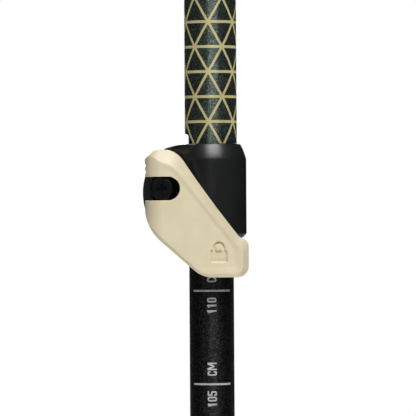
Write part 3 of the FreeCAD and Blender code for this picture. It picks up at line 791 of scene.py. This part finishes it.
def stitches(name, path, across, out, paint):
    """A row of thread stitches along a path, lying just proud of the cloth."""
    bm = bmesh.new()
    distance, due = 0.0, 0.0
    for a, b in zip(path, path[1:]):
        distance += (b - a).length
        if distance < due:
            continue
        due = distance + STITCH_PITCH
        along = (b - a).normalized()
        normal = Vector((along.z, 0, -along.x))
        centre = b + Vector((0, across, 0)) + normal * out
        sides, rings = 8, []
        for step in range(7):
            t = step / 6 * 2 - 1
            bow = THREAD * 0.5 * (1 - t * t)
            radius = THREAD / 2 * math.sqrt(max(0.03, 1 - abs(t) ** 4))
            middle = centre + along * (t * STITCH_LENGTH / 2) + normal * (bow if out > 0 else -bow)
            ring = []
            for k in range(sides):
                angle = 2 * math.pi * k / sides
                sideways = Vector((0, radius * math.sin(angle), 0))
                ring.append(bm.verts.new(middle + normal * radius * math.cos(angle) + sideways))
            rings.append(ring)
        for lower, upper in zip(rings, rings[1:]):
            for k in range(sides):
                face = bm.faces.new((lower[k], lower[(k + 1) % sides], upper[(k + 1) % sides], upper[k]))
                face.smooth = True
        bm.faces.new(rings[0][::-1])
        bm.faces.new(rings[-1])
    bmesh.ops.recalc_face_normals(bm, faces=bm.faces)
    mesh = bpy.data.meshes.new(name)
    bm.to_mesh(mesh)
    bm.free()
    return new_piece(name, mesh, paint)


def build_strap():
    web = woven("webbing", (0.03, 0.03, 0.031), 0.55 * MM, stripe=(1.1 * MM, (0.6, 0.5, 0.3)))
    lining = woven("strap_lining", (0.075, 0.076, 0.078), 0.4 * MM)
    path = webbing_path()
    webbing = new_piece("strap_webbing", sweep("strap_webbing", path, webbing_profile), web)
    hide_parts("wrist_strap", "strap_anchor")
    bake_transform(webbing)
    cushion_path = pad_path()
    pad = new_piece("strap_pad", sweep("strap_pad", cushion_path, pad_profile), lining)
    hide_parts("wrist_pad")
    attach(pad, "strap")
    thread = moulded("thread", (0.5, 0.42, 0.26), 0.6, 0.1 * MM, 0.02 * MM)
    for side, word in ((-1, "left"), (1, "right")):
        across, out = side * PAD_WIDTH / 2 * SEWN_AT, -PAD_THICKNESS / 2 * 0.6
        row = stitches(f"pad_stitch_{word}", cushion_path, across, out, thread)
        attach(row, "strap")


# ---------------------------------------------------------------- stage, light and camera


FLOOR_GLOW = 0.56
SKY_GLOW = 0.13  # at the zenith


def build_stage():
    """Plain pale floor under the tip. A glow that lights nothing else keeps it pale far from the lights."""
    bm = bmesh.new()
    bmesh.ops.create_circle(bm, cap_ends=True, radius=3.0, segments=96)  # metres
    mesh = bpy.data.meshes.new("floor")
    bm.to_mesh(mesh)
    bm.free()
    paint = Paint("floor", roughness=0.9, emission_color=(1, 1, 1))
    tone = paint.noise(0.4, 3.0)
    paint.use("Base Color", paint.mix(tone, (0.36, 0.36, 0.36), (0.4, 0.4, 0.4)))
    seen = paint.add("LightPath").outputs["Is Camera Ray"]
    paint.use("Emission Strength", paint.math("MULTIPLY", seen, FLOOR_GLOW))
    mesh.materials.append(paint.material)
    floor = bpy.data.objects.new("floor", mesh)
    bpy.context.scene.collection.objects.link(floor)


def area_light(name, place, target, width, height, power):
    light = bpy.data.lights.new(name, "AREA")
    light.shape = "RECTANGLE"
    light.size = width
    light.size_y = height
    light.energy = power
    obj = bpy.data.objects.new(name, light)
    bpy.context.scene.collection.objects.link(obj)
    obj.location = place
    obj.rotation_mode = "QUATERNION"
    obj.rotation_quaternion = (Vector(target) - Vector(place)).to_track_quat("-Z", "Y")


def build_world():
    """White backdrop to the eye. It sheds only a faint light, none at the horizon, most from above."""
    world = bpy.data.worlds.new("studio")
    bpy.context.scene.world = world
    world.use_nodes = True
    tree = world.node_tree
    background = tree.nodes["Background"]
    coords = tree.nodes.new("ShaderNodeTexCoord")
    split = tree.nodes.new("ShaderNodeSeparateXYZ")
    tree.links.new(coords.outputs["Generated"], split.inputs[0])
    up = tree.nodes.new("ShaderNodeMapRange")
    tree.links.new(split.outputs["Z"], up.inputs["Value"])
    up.inputs["To Max"].default_value = SKY_GLOW
    seen = tree.nodes.new("ShaderNodeLightPath")
    choose = tree.nodes.new("ShaderNodeMix")
    choose.data_type = "FLOAT"
    tree.links.new(seen.outputs["Is Camera Ray"], choose.inputs[0])
    tree.links.new(up.outputs[0], choose.inputs[2])
    choose.inputs[3].default_value = 1.0
    tree.links.new(choose.outputs[0], background.inputs["Strength"])
    background.inputs["Color"].default_value = (1, 1, 1, 1)


def build_light():
    lock = Vector((0, 0, LOWER_LOCK_Z))
    area_light("key_above", lock + Vector((0.17, -0.78, 1.02)), lock, 0.8, 0.6, 17.0)
    area_light("front_strip", lock + Vector((0.0, -1.6, 0.25)), lock, 0.14, 0.9, 0.35)
    area_light("right_fill", lock + Vector((1.4, -0.7, 0.5)), lock, 0.6, 1.0, 0.25)
    area_light("floor_card", lock + Vector((0.0, -0.09, -0.32)), lock, 0.5, 0.3, 1.1)
    middle = Vector((0, 0, high("grip_cap").z / 2))
    area_light("back_fill", middle + Vector((0.0, 1.5, 0.5)), middle, 0.6, 1.2, 20)
    build_world()


def build_camera():
    """Level close view of the lower lock, with the slight lean it is held at."""
    distance, angle, lean = 0.93, math.radians(6.89), math.radians(0.34)
    data = bpy.data.cameras.new("camera")
    data.angle = angle
    data.clip_start = 0.02
    camera = bpy.data.objects.new("camera", data)
    bpy.context.scene.collection.objects.link(camera)
    camera.location = (-0.86 * MM, -distance, LOWER_LOCK_Z - 5.25 * MM)
    camera.rotation_euler = (math.pi / 2, lean, 0)
    bpy.context.scene.camera = camera
    bpy.context.scene.view_settings.view_transform = "Standard"


paint_frame()
soften_moulded_parts()
build_scales()
build_strap()
build_stage()
build_light()
build_camera()
